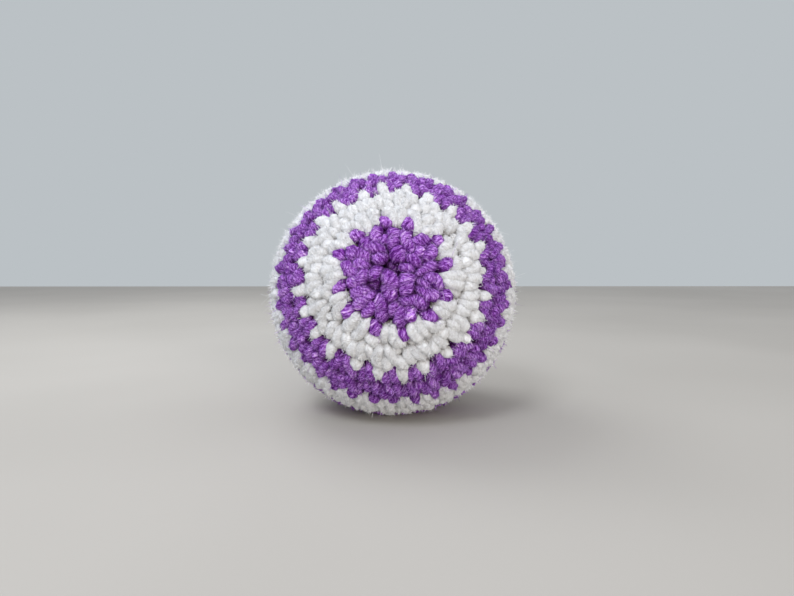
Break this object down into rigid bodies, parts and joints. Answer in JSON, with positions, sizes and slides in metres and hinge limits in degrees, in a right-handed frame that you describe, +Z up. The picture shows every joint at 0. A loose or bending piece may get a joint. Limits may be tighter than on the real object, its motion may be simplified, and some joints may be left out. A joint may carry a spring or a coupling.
{
  "type": "crocheted footbag",
  "caption": "Palm-sized crocheted kicking ball: rounds of single crochet in purple and white yarn over a pellet-filled cloth liner.",
  "frame": {"origin": "middle of the flat spot that the ball rests on", "axes": "+Z up; -Y is where the crochet's starting ring looks, 12 degrees above the horizontal; +X to the right as seen from there"},
  "size_m": [0.0578, 0.0578, 0.0567],
  "materials": {
    "purple_yarn": "matte",
    "white_yarn": "matte",
    "liner_cloth": "matte",
    "liner_thread": "matte",
    "pellets": "satin"
  },
  "bodies": {
    "root": {"purple_start_cap": "purple_yarn", "white_band_1": "white_yarn", "purple_band_1": "purple_yarn", "white_band_2": "white_yarn", "purple_band_2": "purple_yarn", "white_band_3": "white_yarn", "purple_band_3": "purple_yarn", "white_band_4": "white_yarn", "purple_closing_cap": "purple_yarn", "tied_ends_1": "purple_yarn", "tied_ends_2": "white_yarn", "tied_ends_3": "purple_yarn", "tied_ends_4": "white_yarn", "tied_ends_5": "purple_yarn", "tied_ends_6": "white_yarn", "tied_ends_7": "purple_yarn", "tied_ends_8": "white_yarn", "liner_front_half": "liner_cloth", "liner_rear_half": "liner_cloth", "liner_seam_thread": "liner_thread", "pellet_fill": "pellets"}
  },
  "joints": []
}
